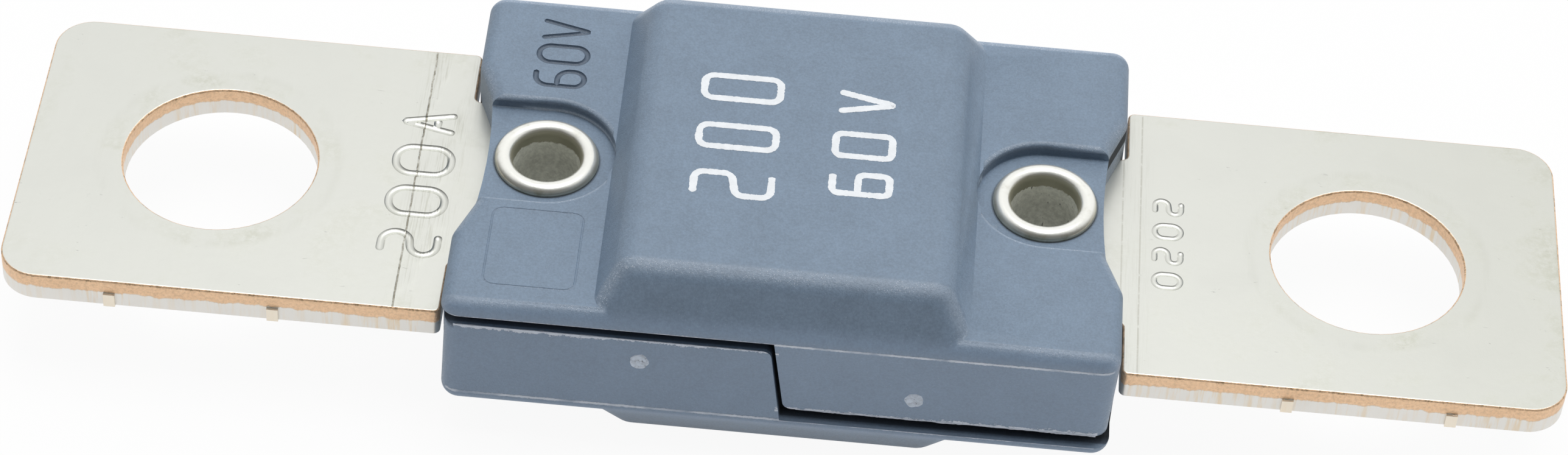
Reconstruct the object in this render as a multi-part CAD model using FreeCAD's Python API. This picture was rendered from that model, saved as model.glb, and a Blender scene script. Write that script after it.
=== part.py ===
import FreeCAD, Part
import math
import os
from FreeCAD import Vector

# Bolt-down strip fuse: one stamped copper strip, clamped between two identical moulded
# housing halves that two tubular eyelets rivet together through the strip.
# Frame: +X along the strip, +Y to the back, +Z up. The origin is the centre of the fuse,
# on the strip's mid-plane. All lengths are millimetres and all angles are degrees.

# Conductor strip
stud_spacing = 51.0
stud_hole_radius = 4.3
stud_end_distance = 8.55
strip_width = 16.0
strip_thickness = 1.4
strip_corner_radius = 1.7
neck_width = 10.0
shoulder_gap = 0.2
shoulder_radius = 0.3
edge_rollover = 0.1

# Remnants of the tabs that held the blank in its carrier, on the front edge, placed from
# the centre of the stud hole
carrier_nub_offsets = (-3.5, 3.6)
carrier_nub_length = 0.5
carrier_nub_height = 0.13

# Fuse element, the narrowed middle of the strip
element_width = 5.4
element_length = 8.0
element_taper = 2.2
element_taper_radius = 1.0
element_slot_width = 1.2
element_slot_corner = 0.5
element_bridge = 1.1
pellet_offset = 2.3
pellet_radius = 0.8
pellet_head_radius = 1.15
pellet_head_height = 0.3
pellet_head_round = 0.24

# Housing half, outside
body_length = 29.1
body_width = 19.4
body_corner_radius = 0.8
flange_top = 3.1
flange_thickness = 0.7
edge_round = 0.65
hump_top = 5.15
hump_end_distance = 7.6
hump_slope = 62.0
hump_round = 1.2
hump_foot_round = 0.25
hump_foot_bite = 0.01
hump_foot_lap = 0.1

# Notch in each end of the housing, over the neck of the strip
notch_depth = 0.78
notch_mouth = 10.4
notch_waist = 6.4
notch_bow_angle = 4.7
notch_bow_radius = 28.0
notch_mouth_radius = 0.8
notch_waist_radius = 1.5

# Skirts that close the long sides: each half carries one at the front and one at the back
skirt_reach = 1.75
skirt_thickness = 1.5
skirt_draft = 2.0
skirt_clearance = 0.1
skirt_corner_radius = 0.4
split_gap = 0.22
split_angle = 8.1

# Housing half, inside
joint_gap = 0.1
channel_clearance = 0.1
housing_wall = 1.3
chamber_past_hump_top = 0.2
chamber_lip = 1.4
chamber_corner_radius = 0.8

# Eyelets and their seats
eyelet_end_distance = 3.55
eyelet_bore_radius = 1.5
eyelet_wall = 0.25
eyelet_lip_radius = 0.41
eyelet_clearance = 0.05
eyelet_strip_clearance = 0.1
seat_depth = 0.65
seat_rim_gap = 0.73
seat_edge_round = 0.28

# Sizes that follow from the ones above
strip_top = strip_thickness / 2
strip_length = stud_spacing + 2 * stud_end_distance
stud_place = stud_spacing / 2
hump_top_length = body_length - 2 * hump_end_distance
chamber_length = hump_top_length + 2 * chamber_past_hump_top
parting_height = flange_top - flange_thickness
seat_level = flange_top - seat_depth
eyelet_outer_radius = eyelet_bore_radius + eyelet_wall
lip_outer_radius = eyelet_bore_radius + 2 * eyelet_lip_radius
seat_radius = lip_outer_radius + seat_rim_gap
eyelet_place = body_length / 2 - eyelet_end_distance
shoulder_place = body_length / 2 + shoulder_gap
slope = math.radians(hump_slope)
foot_level = flange_top - hump_foot_bite
foot_place = hump_top_length / 2 + (hump_top - foot_level) / math.tan(slope)
foot_setback = hump_foot_round * math.tan(slope / 2)
foot_toe = foot_place + foot_setback
quarter_turn = 90.0
half_turn = 180.0
full_turn = 360.0
reach_past = 5.0
tiny = 1e-6


def rounded_wire(corners, place):
    """Closed wire through corners (u, v, radius), each rounded by an arc of its own radius."""
    points = [Vector(u, v, 0) for u, v, _ in corners]
    starts, middles, ends = [], [], []
    for index, (_, _, radius) in enumerate(corners):
        corner = points[index]
        back = (points[index - 1] - corner).normalize()
        ahead = (points[(index + 1) % len(points)] - corner).normalize()
        half_angle = back.getAngle(ahead) / 2
        setback = radius / math.tan(half_angle)
        inward = (back + ahead).normalize()
        starts.append(corner + back * setback)
        ends.append(corner + ahead * setback)
        middles.append(corner + inward * (radius / math.sin(half_angle) - radius))
    edges = []
    for index, (_, _, radius) in enumerate(corners):
        following = starts[(index + 1) % len(starts)]
        if radius:
            arc = Part.Arc(place(starts[index]), place(middles[index]), place(ends[index]))
            edges.append(arc.toShape())
        if ends[index].distanceToPoint(following) > tiny:
            edges.append(Part.LineSegment(place(ends[index]), place(following)).toShape())
    return Part.Wire(edges)


def flat(level):
    """Places outline points (x, y) on the horizontal plane at a level."""
    return lambda point: Vector(point.x, point.y, level)


def prism(corners, low, high):
    """Upright prism over an outline of corners (x, y, radius)."""
    face = Part.Face(rounded_wire(corners, flat(low)))
    return face.extrude(Vector(0, 0, high - low))


def across(corners, low, high):
    """Prism along Y over a profile of corners (x, z, radius)."""
    face = Part.Face(rounded_wire(corners, lambda point: Vector(point.x, low, point.y)))
    return face.extrude(Vector(0, high - low, 0))


def along(corners, low, high):
    """Prism along X over a profile of corners (y, z, radius)."""
    face = Part.Face(rounded_wire(corners, lambda point: Vector(low, point.x, point.y)))
    return face.extrude(Vector(high - low, 0, 0))


def box(length, width, low, high, radius=0):
    """Upright block centred on the Z axis, with rounded upright edges."""
    x, y = length / 2, width / 2
    return prism([(x, y, radius), (-x, y, radius), (-x, -y, radius), (x, -y, radius)], low, high)


def cylinder(radius, low, high, x=0.0):
    return Part.makeCylinder(radius, high - low, Vector(x, 0, low))


def edges_where(shape, test):
    return [edge for edge in shape.Edges if test(edge.BoundBox)]


def turned_over(shape):
    """The same shape after half a turn about the strip's own axis."""
    copy = shape.copy()
    copy.rotate(Vector(0, 0, 0), Vector(1, 0, 0), half_turn)
    return copy


def strip_outline():
    """Half of the lower edge, mirrored to the other end and to the other side."""
    end = strip_length / 2
    element = element_length / 2
    quarter = [
        (end, -strip_width / 2, strip_corner_radius),
        (shoulder_place, -strip_width / 2, shoulder_radius),
        (shoulder_place, -neck_width / 2, shoulder_radius),
        (element + element_taper, -neck_width / 2, element_taper_radius),
        (element, -element_width / 2, element_taper_radius),
    ]
    front = quarter + [(-x, y, radius) for x, y, radius in reversed(quarter)]
    return front + [(-x, -y, radius) for x, y, radius in front]


def fuse_strip():
    strip = prism(strip_outline(), -strip_top, strip_top)
    for side in (-1, 1):
        strip = strip.cut(cylinder(stud_hole_radius, -strip_top, strip_top, side * stud_place))
        rivet_hole = eyelet_outer_radius + eyelet_strip_clearance
        strip = strip.cut(cylinder(rivet_hole, -strip_top, strip_top, side * eyelet_place))
    slot_length = element_width - 2 * element_bridge
    slot = box(element_slot_width, slot_length, -strip_top, strip_top, element_slot_corner)
    strip = strip.cut(slot)
    strip = strip.cut(cylinder(pellet_radius, -strip_top, strip_top, pellet_offset))
    outside = edges_where(strip, lambda b: b.ZMin > strip_top - tiny and b.XMin > shoulder_place - 1)
    outside += edges_where(strip, lambda b: b.ZMin > strip_top - tiny and b.XMax < 1 - shoulder_place)
    strip = strip.makeFillet(edge_rollover, outside)
    for offset in carrier_nub_offsets:
        for side in (-1, 1):
            corner_x = side * (stud_place + offset) - carrier_nub_length / 2
            corner_y = -strip_width / 2 - carrier_nub_height
            corner = Vector(corner_x, corner_y, -strip_top)
            nub = Part.makeBox(carrier_nub_length, 2 * carrier_nub_height, strip_thickness / 2, corner)
            strip = strip.fuse(nub)
    return strip.removeSplitter()


def tin_pellet():
    """Rivet of tin through the fuse element, with a low head on each face."""
    pellet = cylinder(pellet_radius, -strip_top, strip_top, pellet_offset)
    head = cylinder(pellet_head_radius, strip_top, strip_top + pellet_head_height, pellet_offset)
    rim = edges_where(head, lambda b: b.ZMin > strip_top + pellet_head_height / 2)
    head = head.makeFillet(pellet_head_round, rim)
    return pellet.fuse([head, turned_over(head)]).removeSplitter()


def eyelet(side):
    """Tubular rivet whose two ends are rolled outward onto the seats of the halves."""
    inner = eyelet_bore_radius
    outer = eyelet_outer_radius
    curl = inner + eyelet_lip_radius
    inside_curl = eyelet_lip_radius - eyelet_wall

    def at(radius, level):
        return Vector(radius, 0, level)

    edges = [
        Part.LineSegment(at(inner, -seat_level), at(inner, seat_level)).toShape(),
        Part.Arc(
            at(inner, seat_level),
            at(curl, seat_level + eyelet_lip_radius),
            at(lip_outer_radius, seat_level),
        ).toShape(),
        Part.LineSegment(at(lip_outer_radius, seat_level), at(curl + inside_curl, seat_level)).toShape(),
        Part.Arc(
            at(curl + inside_curl, seat_level),
            at(curl, seat_level + inside_curl),
            at(outer, seat_level),
        ).toShape(),
        Part.LineSegment(at(outer, seat_level), at(outer, -seat_level)).toShape(),
        Part.Arc(
            at(outer, -seat_level),
            at(curl, -seat_level - inside_curl),
            at(curl + inside_curl, -seat_level),
        ).toShape(),
        Part.LineSegment(at(curl + inside_curl, -seat_level), at(lip_outer_radius, -seat_level)).toShape(),
        Part.Arc(
            at(lip_outer_radius, -seat_level),
            at(curl, -seat_level - eyelet_lip_radius),
            at(inner, -seat_level),
        ).toShape(),
    ]
    section = Part.Face(Part.Wire(edges))
    rivet = section.revolve(Vector(0, 0, 0), Vector(0, 0, 1), full_turn)
    rivet.translate(Vector(side * eyelet_place, 0, 0))
    return rivet


def body_outline(inset=0.0):
    """Outline of the housing seen from above, with the notch in each end."""
    end = body_length / 2 - inset
    side = body_width / 2 - inset
    waist = end - notch_depth
    bow = notch_waist / 2 * math.tan(math.radians(notch_bow_angle))
    corner = body_corner_radius - inset
    right = [
        (end, side, corner),
        (end, notch_mouth / 2, notch_mouth_radius),
        (waist, notch_waist / 2, notch_waist_radius),
        (waist - bow, 0, notch_bow_radius),
        (waist, -notch_waist / 2, notch_waist_radius),
        (end, -notch_mouth / 2, notch_mouth_radius),
        (end, -side, corner),
    ]
    return right + [(-x, -y, radius) for x, y, radius in right]


def flange():
    """Flat part of the half above the parting line, rounded all round its top edge."""
    plate = prism(body_outline(), parting_height, flange_top)
    top_edges = edges_where(plate, lambda b: b.ZMin > flange_top - tiny)
    return plate.makeFillet(edge_round, top_edges)


def hump():
    """Raised middle over the fuse element: a frustum whose front and back slopes run
    tangent into the rounded edge of the flange, with a hollow round along the foot of
    its end slopes. That round laps a little way up the slope, and bites a little into
    the flange, so that the two meet at an angle."""
    side = body_width / 2
    edge_start = flange_top - edge_round + edge_round * (1 - math.sin(slope)) / math.cos(slope)
    top_side = side - (hump_top - edge_start) / math.tan(slope)
    top_end = hump_top_length / 2
    spread = (hump_top - parting_height) / math.tan(slope)
    wires = []
    for level, grown in ((parting_height, spread), (hump_top, 0.0)):
        x, y = top_end + grown, top_side + grown
        corners = [(x, y, 0), (-x, y, 0), (-x, -y, 0), (x, -y, 0)]
        wires.append(rounded_wire(corners, flat(level)))
    frustum = Part.makeLoft(wires, True, True)
    frustum = frustum.makeFillet(hump_round, edges_where(frustum, lambda b: b.ZMax > hump_top - tiny))
    profile = [
        (side, parting_height, 0),
        (side, edge_start, edge_round),
        (top_side, hump_top, 0),
        (-top_side, hump_top, 0),
        (-side, edge_start, edge_round),
        (-side, parting_height, 0),
    ]
    middle = frustum.common(along(profile, -body_length / 2, body_length / 2))
    climb = foot_setback + hump_foot_lap
    lap_place = foot_place - climb * math.cos(slope)
    solids = [middle]
    for end in (-1, 1):
        foot = [
            (end * foot_toe, parting_height, 0),
            (end * foot_toe, foot_level, 0),
            (end * foot_place, foot_level, hump_foot_round),
            (end * lap_place, foot_level + climb * math.sin(slope), 0),
            (end * lap_place, parting_height, 0),
        ]
        shifted = middle.copy()
        shifted.translate(Vector(end * foot_setback, 0, 0))
        solids.append(shifted.common(across(foot, -side, side)))
    return solids[0].fuse(solids[1:]).removeSplitter()


def shell_top():
    """Flange and hump as one."""
    return flange().fuse(hump()).removeSplitter()


def skirt(side):
    """One skirt, on the front when side is 1 and on the back when it is -1. It hangs
    from the parting line past the strip, and leans away from the other half's skirt."""
    drop = parting_height + skirt_reach
    inset = drop * math.tan(math.radians(skirt_draft))
    wires = [
        rounded_wire(body_outline(), flat(parting_height)),
        rounded_wire(body_outline(inset), flat(-skirt_reach)),
    ]
    drafted = Part.makeLoft(wires, True, True)
    lean = math.tan(math.radians(split_angle))
    past_end = body_length / 2 + reach_past

    def split(level):
        return split_gap / 2 - lean * level

    profile = [
        (side * split(parting_height), parting_height, 0),
        (side * past_end, parting_height, 0),
        (side * past_end, -skirt_reach, 0),
        (side * split(-skirt_reach), -skirt_reach, skirt_corner_radius),
    ]
    inner_face = body_width / 2 - skirt_thickness
    outer_face = body_width / 2 + reach_past
    band = across(profile, *sorted((-side * inner_face, -side * outer_face)))
    wall = drafted.common(band)
    root = box(2 * past_end, 2 * outer_face, joint_gap / 2, parting_height)
    root_face = inner_face - 2 * skirt_clearance
    root = root.common(across(profile, *sorted((-side * root_face, -side * outer_face))))
    return wall.fuse(drafted.common(root)).removeSplitter()


def core():
    """Block inside the skirts, which carries the seats and closes against the other half."""
    depth = 2 * (body_width / 2 - skirt_thickness - skirt_clearance)
    outline = prism(body_outline(), joint_gap / 2, parting_height)
    return outline.common(box(2 * body_length, depth, joint_gap / 2, parting_height))


def chamber():
    """Hollow round the fuse element, with a slope parallel to the hump's."""
    half_length = chamber_length / 2
    ceiling = hump_top - housing_wall
    slope_shift = housing_wall / math.sin(slope)
    ceiling_end = hump_top_length / 2 + housing_wall / math.tan(slope) - slope_shift
    slope_start = ceiling - (half_length - ceiling_end) * math.tan(slope)
    width = body_width - 2 * (skirt_thickness + skirt_clearance + chamber_lip)
    profile = [
        (half_length, 0, 0),
        (half_length, slope_start, 0),
        (ceiling_end, ceiling, 0),
        (-ceiling_end, ceiling, 0),
        (-half_length, slope_start, 0),
        (-half_length, 0, 0),
    ]
    hollow = across(profile, -width / 2, width / 2)
    return hollow.common(box(chamber_length, width, 0, ceiling, chamber_corner_radius))


def strip_channel():
    width = neck_width + 2 * channel_clearance
    return box(2 * body_length, width, 0, strip_top)


def seat_pocket(side):
    """U-shaped recess round an eyelet, open at the end of the housing, with the upper
    edge of its wall rounded as far as the foot of the hump."""
    past_end = body_length
    centre = side * eyelet_place
    walls = cylinder(seat_radius, seat_level, hump_top, centre)
    run = past_end - eyelet_place
    start_x = min(centre, centre + side * run)
    corner = Vector(start_x, -seat_radius, seat_level)
    walls = walls.fuse(Part.makeBox(run, 2 * seat_radius, hump_top - seat_level, corner))
    flare_radius = seat_radius + seat_edge_round
    low = flange_top - seat_edge_round
    shallow = math.sqrt(0.5) * seat_edge_round
    outline = [
        Part.LineSegment(Vector(0, 0, low), Vector(seat_radius, 0, low)).toShape(),
        Part.Arc(
            Vector(seat_radius, 0, low),
            Vector(flare_radius - shallow, 0, low + shallow),
            Vector(flare_radius, 0, flange_top),
        ).toShape(),
        Part.LineSegment(Vector(flare_radius, 0, flange_top), Vector(0, 0, flange_top)).toShape(),
        Part.LineSegment(Vector(0, 0, flange_top), Vector(0, 0, low)).toShape(),
    ]
    section = Part.Face(Part.Wire(outline))
    bowl = section.revolve(Vector(0, 0, 0), Vector(0, 0, 1), full_turn)
    bowl.translate(Vector(centre, 0, 0))
    trough = section.copy()
    trough.rotate(Vector(0, 0, 0), Vector(0, 0, 1), quarter_turn)
    trough = trough.extrude(Vector(run, 0, 0))
    other = trough.mirror(Vector(0, 0, 0), Vector(0, 1, 0))
    trough = trough.fuse(other)
    trough.translate(Vector(start_x, 0, 0))
    corner = Vector(min(side * foot_toe, side * (foot_toe + past_end)), -body_width / 2, 0)
    beyond_foot = Part.makeBox(past_end, body_width, hump_top, corner)
    return walls.fuse(bowl.fuse(trough).common(beyond_foot))


def upper_housing():
    half = shell_top()
    half = half.fuse([core(), skirt(1), skirt(-1)]).removeSplitter()
    half = half.cut(chamber())
    half = half.cut(strip_channel())
    for side in (-1, 1):
        half = half.cut(seat_pocket(side))
        barrel_hole = eyelet_outer_radius + eyelet_clearance
        half = half.cut(cylinder(barrel_hole, 0, seat_level, side * eyelet_place))
    return half.removeSplitter()


def save(name, shape):
    shape.exportStep(os.path.join("parts", name + ".step"))
    print(name, len(shape.Solids), "solid, valid", shape.isValid(), "volume", round(shape.Volume, 3))


def main():
    os.makedirs("parts", exist_ok=True)
    upper = upper_housing()
    save("upper_housing", upper)
    save("lower_housing", turned_over(upper))
    save("fuse_strip", fuse_strip())
    save("tin_pellet", tin_pellet())
    save("left_eyelet", eyelet(-1))
    save("right_eyelet", eyelet(1))


main()
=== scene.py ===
"""Dresses the bolt-down strip fuse: moulded housing halves, printed, moulded and stamped
characters, tinned strip and rolled eyelets. It stands on a white floor under studio light."""

import math
from contextlib import contextmanager

import bmesh
import bpy
from bpy.props import FloatProperty, FloatVectorProperty, IntProperty, PointerProperty, StringProperty
from mathutils import Matrix, Vector, noise


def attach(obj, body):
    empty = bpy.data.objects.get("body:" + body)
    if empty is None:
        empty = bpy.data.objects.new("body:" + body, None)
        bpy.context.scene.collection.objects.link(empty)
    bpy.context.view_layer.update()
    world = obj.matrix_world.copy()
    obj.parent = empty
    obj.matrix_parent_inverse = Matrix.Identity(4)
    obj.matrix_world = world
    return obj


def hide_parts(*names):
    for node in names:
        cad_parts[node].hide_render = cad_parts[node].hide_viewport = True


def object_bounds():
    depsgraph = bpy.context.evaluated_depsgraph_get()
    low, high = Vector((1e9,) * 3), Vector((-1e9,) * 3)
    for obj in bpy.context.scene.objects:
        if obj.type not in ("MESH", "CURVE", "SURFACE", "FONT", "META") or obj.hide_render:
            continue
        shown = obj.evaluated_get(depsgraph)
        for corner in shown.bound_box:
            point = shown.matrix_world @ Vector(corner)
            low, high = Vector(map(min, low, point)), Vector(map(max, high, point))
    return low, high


bl_info = {
    "name": "Bolt-Down Strip Fuse",
    "version": (1, 0, 0),
    "blender": (4, 5, 0),
    "location": "3D View > Sidebar > Fuse",
    "description": "Builds the finished look of a bolt-down strip fuse round its fixed solids",
    "category": "Object",
}

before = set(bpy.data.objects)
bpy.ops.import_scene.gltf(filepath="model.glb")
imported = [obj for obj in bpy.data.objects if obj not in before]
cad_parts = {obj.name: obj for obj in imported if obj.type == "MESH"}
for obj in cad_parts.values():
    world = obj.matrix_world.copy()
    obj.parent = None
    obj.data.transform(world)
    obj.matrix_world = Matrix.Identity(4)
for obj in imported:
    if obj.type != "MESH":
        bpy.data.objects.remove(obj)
cad_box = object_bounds()

MM = 0.001
BODY = "root"

# Heights above the strip's mid-plane, in millimetres
HUMP_TOP = 5.15
FLANGE_TOP = 3.1
SEAT_TOP = 2.45
PARTING = 2.4
SKIRT_END = 1.75
STRIP_TOP = 0.7

# Places along and across the fuse, in millimetres from its middle
SIDE = 9.7
STRIP_SIDE = 8.0
EYELET_X = 11.0
STUD_X = 25.5
SCRIBED_X = -16.8

# Middle of a gate mark on a front skirt, and how far a skirt's face leans in for its height
GATE_X, GATE_Z = 5.94, -0.45
DRAFT = math.tan(math.radians(2.0))

# Radii of the stud holes, of the eyelets' bore and rolled lip, and of their rims' outer edge
STUD_RADIUS = 4.3
BORE_RADIUS = 1.5
LIP = 0.41
RIM_RADIUS = BORE_RADIUS + 2 * LIP

# Angle between faces above which an edge stays sharp
SHARP_ANGLE = math.radians(32.0)

# Colours of small details, beside those in the settings
JOINT_SHADE = (0.004, 0.006, 0.010)
SUNK_SHADE = (0.045, 0.07, 0.11)
# Tint of the painted bounce light on the outer upright faces
PAINTED_BOUNCE_TINT = (0.5, 0.65, 0.9)
RUBBED_TIN = (0.47, 0.47, 0.40)
SCRATCHED_TIN = (0.95, 0.95, 0.92)
SCRIBED_SHADE = (0.20, 0.175, 0.12)
SMEARED_TIN = (0.85, 0.83, 0.785)
WARM_TIN = (0.83, 0.70, 0.53)
TAB_TIN = (0.96, 0.86, 0.70)
TORN_COPPER = (0.97, 0.82, 0.66)
DARK_COPPER = (0.28, 0.19, 0.10)
# Olive tarnish colour, also used for the painted shade on the eyelets' rim edges
TARNISH_AND_SHADE = (0.40, 0.38, 0.27)
BORE_STREAK = (0.04, 0.04, 0.035)
CAST_TIN = ((0.48, 0.48, 0.47), (0.66, 0.66, 0.65))

# Where the camera stands, in millimetres, and the turn from the fuse's axes to its own
CAMERA_PLACE = (1.710, -136.729, 141.763)
CAMERA_TURN = (2.3735, 0.1113, 0.0304)


# Settings


def size(name, default, description):
    """A length in metres, whose default is given in millimetres."""
    return FloatProperty(
        name=name, description=description, default=default * MM, min=0.0, unit="LENGTH", precision=5
    )


def colour(name, default, description):
    """A colour that a user may change."""
    return FloatVectorProperty(
        name=name, description=description, default=default, size=3, min=0.0, max=1.0, subtype="COLOR"
    )


def share(name, default, description):
    """A number from 0 to 1."""
    return FloatProperty(
        name=name, description=description, default=default, min=0.0, max=1.0, subtype="FACTOR"
    )


def amount(name, default, description, lowest=0.0):
    """A plain number."""
    return FloatProperty(name=name, description=description, default=default, min=lowest)


class FuseHousingSettings(bpy.types.PropertyGroup):
    """Moulded halves"""

    plastic: colour("Plastic", (0.184, 0.256, 0.350), "Colour of the moulded plastic")
    # The pale colour is also used for the painted glints and sheen on the rounded edges
    plastic_pale: colour("Worn plastic", (0.61, 0.68, 0.78), "Colour of scuffs and gate marks")
    flash: colour("Flash", (0.74, 0.80, 0.90), "Colour of the flash on the edges")
    letter_width: size("Moulded stroke", 0.26, "Width of the sunk strokes on the flange")
    letter_depth: size("Moulded depth", 0.11, "Depth of the sunk strokes on the flange")
    frame_width: size("Frame line", 0.1, "Width of the thin sunk line round the bare field")
    frame_depth: size("Frame depth", 0.03, "Depth of the thin sunk line round the bare field")
    gate_radius: size("Gate mark", 0.47, "Radius of the rough mark where the plastic entered")
    flash_size: size("Flash size", 0.065, "Largest radius of the flash along the skirts' edges")
    film: size("Print film", 0.012, "Thickness of the printed film on the hump")


class FusePrintSettings(bpy.types.PropertyGroup):
    """Printed characters"""

    ink: colour("Ink", (0.91, 0.945, 0.98), "Colour of the printed characters")
    large: StringProperty(name="Left column", description="Three large characters", default="200")
    small: StringProperty(name="Right column", description="Three small characters", default="60V")
    stroke: size("Stroke", 0.33, "Width of the printed strokes")
    ragged: share("Ragged edge", 0.45, "How uneven the edge of the printed strokes is")
    seed: IntProperty(name="Seed", description="Seed of the uneven edge", default=4, min=0)


class FuseStripSettings(bpy.types.PropertyGroup):
    """Tinned strip"""

    tin: colour("Tin", (0.684, 0.691, 0.645), "Colour of the tin plating")
    smudge: colour("Smudge", (0.50, 0.505, 0.435), "Colour of the dull smudges on the plating")
    copper: colour("Copper", (0.96, 0.66, 0.42), "Colour of the bare copper on the cut edges")
    punch: size("Punch radius", 0.26, "Radius of the punch's rounded edge")
    stamp_depth: size("Stamped depth", 0.09, "Depth of the stamped strokes")


class FuseEyeletSettings(bpy.types.PropertyGroup):
    """Rolled eyelets"""

    plating: colour("Plating", (0.92, 0.92, 0.87), "Colour of the eyelets' plating")
    bore_band: colour("Bore band", (0.38, 0.37, 0.28), "Colour of the dull band inside the rolled rim")
    bore_wall: colour("Bore wall", (0.92, 0.93, 0.86), "Colour of the rough wall inside the bore")
    bore_radius: size("Bore radius", BORE_RADIUS, "Radius of the bore")
    wall: size("Wall", 0.25, "Thickness of the tube")
    lip: size("Lip", LIP, "Radius of the rolled rim's section")
    spacing: size("Spacing", 2 * EYELET_X, "Distance between the two eyelets")
    seat: size("Seat", SEAT_TOP, "Height of the seats above the mid-plane")


class FuseStageSettings(bpy.types.PropertyGroup):
    """Floor, light and camera"""

    floor: colour("Floor", (0.97, 0.97, 0.97), "Colour of the floor")
    bright: amount("Bright sky", 1.0, "Light from above and behind")
    dark: amount("Dark sky", 0.1, "Light from the camera's side")
    lens: amount("Lens", 101.85, "Focal length on a 36 mm sensor", 1.0)


SETTINGS = {
    "fuse_housing": FuseHousingSettings,
    "fuse_print": FusePrintSettings,
    "fuse_strip": FuseStripSettings,
    "fuse_eyelets": FuseEyeletSettings,
    "fuse_stage": FuseStageSettings,
}


# Node trees


class Socket:
    """An output socket. Arithmetic on it adds Math nodes to its tree."""

    def __init__(self, tree, socket):
        self.tree = tree
        self.socket = socket

    def maths(self, operation, *terms):
        return node(self.tree, "ShaderNodeMath", {"operation": operation}, dict(enumerate(terms)))

    def __add__(self, other):
        return self.maths("ADD", self, other)

    def __sub__(self, other):
        return self.maths("SUBTRACT", self, other)

    def __mul__(self, other):
        return self.maths("MULTIPLY", self, other)

    def __truediv__(self, other):
        return self.maths("DIVIDE", self, other)

    def __radd__(self, other):
        return self.maths("ADD", other, self)

    def __rsub__(self, other):
        return self.maths("SUBTRACT", other, self)

    def __rmul__(self, other):
        return self.maths("MULTIPLY", other, self)

    def __abs__(self):
        return self.maths("ABSOLUTE", self)

    def __pow__(self, other):
        return self.maths("POWER", self, other)

    def sign(self):
        return self.maths("SIGN", self)

    def least(self, other):
        return self.maths("MINIMUM", self, other)

    def most(self, other):
        return self.maths("MAXIMUM", self, other)

    def rise(self, low, high):
        """0 below low and 1 above high, with a smooth step between; high may be the lower one."""
        settings = {"interpolation_type": "SMOOTHSTEP"}
        if high > low:
            return node(self.tree, "ShaderNodeMapRange", settings, {"Value": self, 1: low, 2: high})
        return 1.0 - node(self.tree, "ShaderNodeMapRange", settings, {"Value": self, 1: high, 2: low})

    def out(self, name):
        """Another output of the same node."""
        return Socket(self.tree, self.socket.node.outputs[name])


def node(tree, kind, settings=None, inputs=None, output=0):
    """Adds a node, sets its settings, then its inputs by name or number, and gives an output."""
    made = tree.nodes.new(kind)
    for name, value in (settings or {}).items():
        setattr(made, name, value)
    for name, value in (inputs or {}).items():
        if isinstance(value, Socket):
            tree.links.new(value.socket, made.inputs[name])
        else:
            made.inputs[name].default_value = value
    return Socket(tree, made.outputs[output]) if made.outputs else made


def rgba(value):
    return (*value[:3], 1.0)


def shaded(value, factor):
    """A colour made darker or lighter."""
    return [part * factor for part in value]


def mix(tree, factor, first, second):
    """Mixes two colours, each a plain colour or a socket."""
    pair = [value if isinstance(value, Socket) else rgba(value) for value in (first, second)]
    return node(tree, "ShaderNodeMix", {"data_type": "RGBA"}, {0: factor, 6: pair[0], 7: pair[1]}, 2)


def split(tree, vector):
    """The three parts of a vector."""
    parts = node(tree, "ShaderNodeSeparateXYZ", None, {0: vector})
    return [parts.out(name) for name in "XYZ"]


def millimetres(tree):
    """Object coordinates in millimetres."""
    place = node(tree, "ShaderNodeTexCoord", output="Object")
    return node(tree, "ShaderNodeVectorMath", {"operation": "SCALE"}, {0: place, "Scale": 1 / MM})


def stretched(tree, place, x, y, z):
    """Coordinates scaled on each axis, so that a pattern becomes streaks."""
    return node(tree, "ShaderNodeVectorMath", {"operation": "MULTIPLY"}, {0: place, 1: (x, y, z)})


def cloudy(tree, place, scale, detail, rough, warp=0.0):
    """A cloudy pattern from 0 to 1."""
    inputs = {"Vector": place, "Scale": scale, "Detail": detail, "Roughness": rough, "Distortion": warp}
    return node(tree, "ShaderNodeTexNoise", None, inputs, "Fac")


def bump(tree, height, distance, strength):
    """A normal from a height; distance is the height of 1, in millimetres."""
    inputs = {"Height": height, "Distance": distance * MM, "Strength": strength}
    return node(tree, "ShaderNodeBump", None, inputs, "Normal")


def sunk_faces(tree):
    """The mark that carve() leaves on the faces of sunk characters."""
    return node(tree, "ShaderNodeAttribute", {"attribute_name": "sunk"}, None, "Fac")


def from_axes(x, y, place):
    """Distance from the nearer of the upright axes at place and at -place along X."""
    across = abs(x) - place
    return (across * across + y * y) ** 0.5


def material(name):
    """An empty material and its node tree."""
    made = bpy.data.materials.new(name)
    made.use_nodes = True
    made.node_tree.nodes.clear()
    return made, made.node_tree


def finish_shader(tree, inputs):
    """Ends a material with a Principled shader."""
    shader = node(tree, "ShaderNodeBsdfPrincipled", None, inputs)
    node(tree, "ShaderNodeOutputMaterial", None, {"Surface": shader})


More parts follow.
